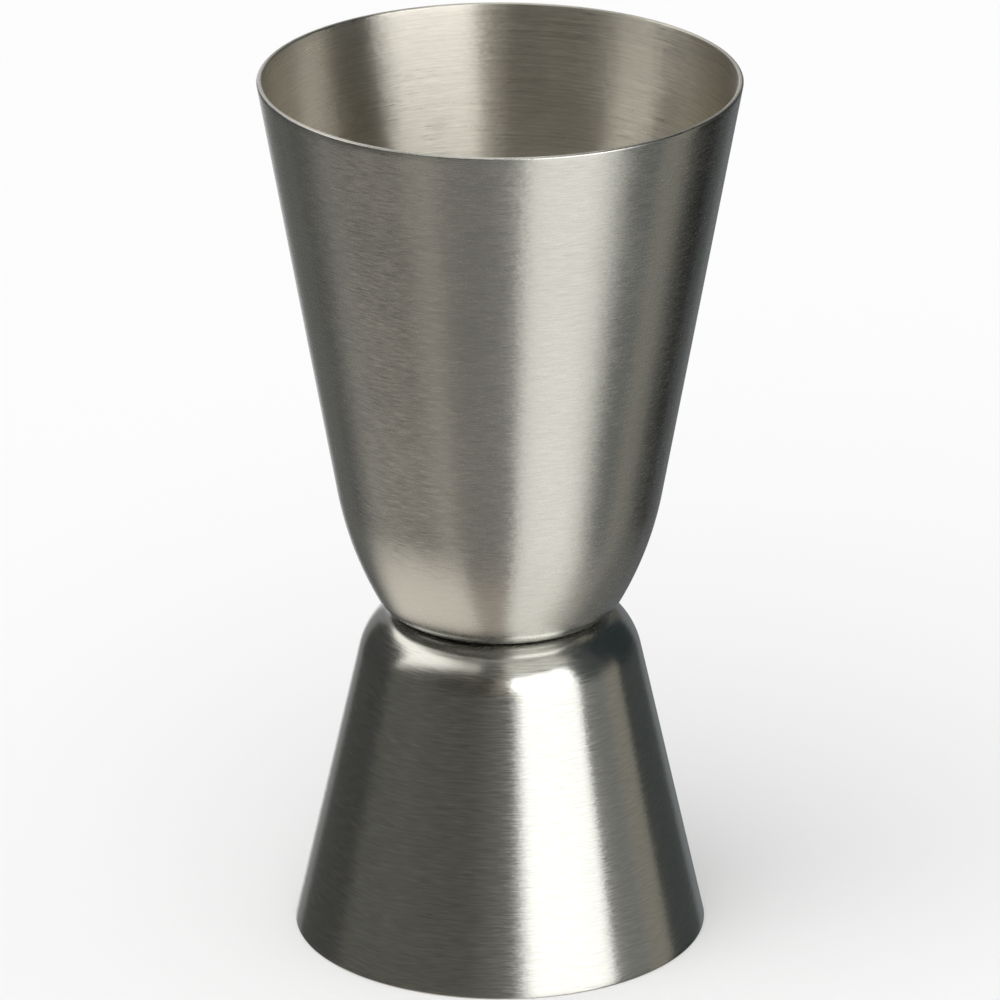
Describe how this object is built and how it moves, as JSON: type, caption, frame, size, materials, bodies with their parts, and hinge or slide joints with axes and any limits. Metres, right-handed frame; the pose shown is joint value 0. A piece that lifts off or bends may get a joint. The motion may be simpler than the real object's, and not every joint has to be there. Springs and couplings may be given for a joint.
{
  "type": "bar jigger",
  "caption": "Two-sided bar measure: a large and a small drawn steel cup joined base to base, each poured level with its rim.",
  "frame": {"origin": "centre of the small cup's rim, on the surface the jigger stands on", "axes": "+Z along the common axis of both cups, up to the large cup's rim"},
  "size_m": [0.045, 0.045, 0.0846],
  "materials": {
    "satin_steel": "satin, brushed round the axis",
    "bright_steel": "finely brushed, glossier than the large cup, with handling scratches",
    "weld_steel": "fused steel, dull"
  },
  "bodies": {
    "root": {"large_cup": "satin_steel", "small_cup": "bright_steel", "spot_weld_1": "weld_steel", "spot_weld_2": "weld_steel", "spot_weld_3": "weld_steel"}
  },
  "joints": []
}
